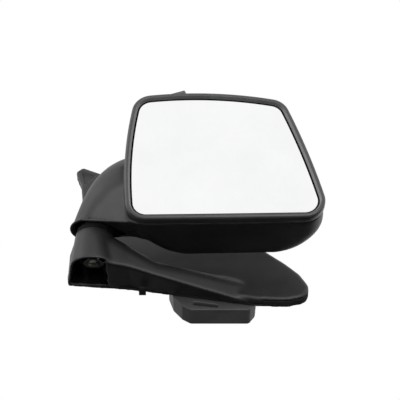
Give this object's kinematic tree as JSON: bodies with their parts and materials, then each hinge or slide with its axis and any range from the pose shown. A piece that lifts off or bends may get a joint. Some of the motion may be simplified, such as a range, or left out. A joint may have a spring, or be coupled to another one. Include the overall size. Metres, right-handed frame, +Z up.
{
  "type": "car side mirror",
  "caption": "Folding door mirror: framed trapezoid glass in a rounded black housing on a pivoting neck, with a sail-shaped door base.",
  "frame": {"origin": "on the door face of the base frame, 40 mm up the slope above the foot of the pivot boss", "axes": "+Z up, +X to the front of the car, -Y away from the door; the door face leans 20 degrees"},
  "size_m": [0.2543, 0.1609, 0.2078],
  "materials": {
    "moulded_cover": "fine moulded grain, satin black",
    "bezel_plastic": "smooth satin black",
    "inner_plastic": "glass-filled, dull",
    "cast_alloy": "die cast, as cast",
    "plated_steel": "zinc plated",
    "spring_steel": "oiled spring wire",
    "seal_rubber": "soft matt",
    "mirror_face": "silvered glass",
    "adhesive": "foam tape"
  },
  "bodies": {
    "base": {"base_cover": "moulded_cover", "base_frame": "cast_alloy", "door_gasket": "seal_rubber", "tip_seal": "seal_rubber", "locating_block": "moulded_cover", "mounting_studs": "plated_steel", "cover_screws": "plated_steel", "block_screws": "plated_steel", "cover_clip": "plated_steel", "detent_ring": "spring_steel", "dust_seal": "seal_rubber"},
    "head": {"rear_housing": "moulded_cover", "front_bezel": "bezel_plastic", "top_fin": "bezel_plastic", "support_bracket": "cast_alloy", "bracket_screws": "plated_steel", "pivot_bolt": "plated_steel", "lock_nut": "plated_steel", "spring_cup": "plated_steel", "fold_spring": "spring_steel", "detent_disc": "spring_steel", "detent_balls": "spring_steel", "thrust_washer": "inner_plastic", "pan_pins": "plated_steel"},
    "gimbal": {"gimbal_ring": "inner_plastic", "tilt_pins": "plated_steel", "pan_washers": "plated_steel"},
    "glass": {"mirror_glass": "mirror_face", "adhesive_pad": "adhesive", "glass_holder": "inner_plastic", "tilt_washers": "plated_steel"}
  },
  "joints": [
    {"name": "head_fold", "type": "hinge", "parent": "base", "child": "head", "pos_m": [0, -0.05468, 0.00041], "axis": [0, 0, 1], "range_deg": [-155, 0]},
    {"name": "glass_pan", "type": "hinge", "parent": "head", "child": "gimbal", "pos_m": [0.12, -0.09668, 0.05741], "axis": [0, 0, 1], "range_deg": [-6, 6]},
    {"name": "glass_tilt", "type": "hinge", "parent": "gimbal", "child": "glass", "pos_m": [0.12, -0.09668, 0.05741], "axis": [1, 0, 0], "range_deg": [-6, 6]}
  ]
}
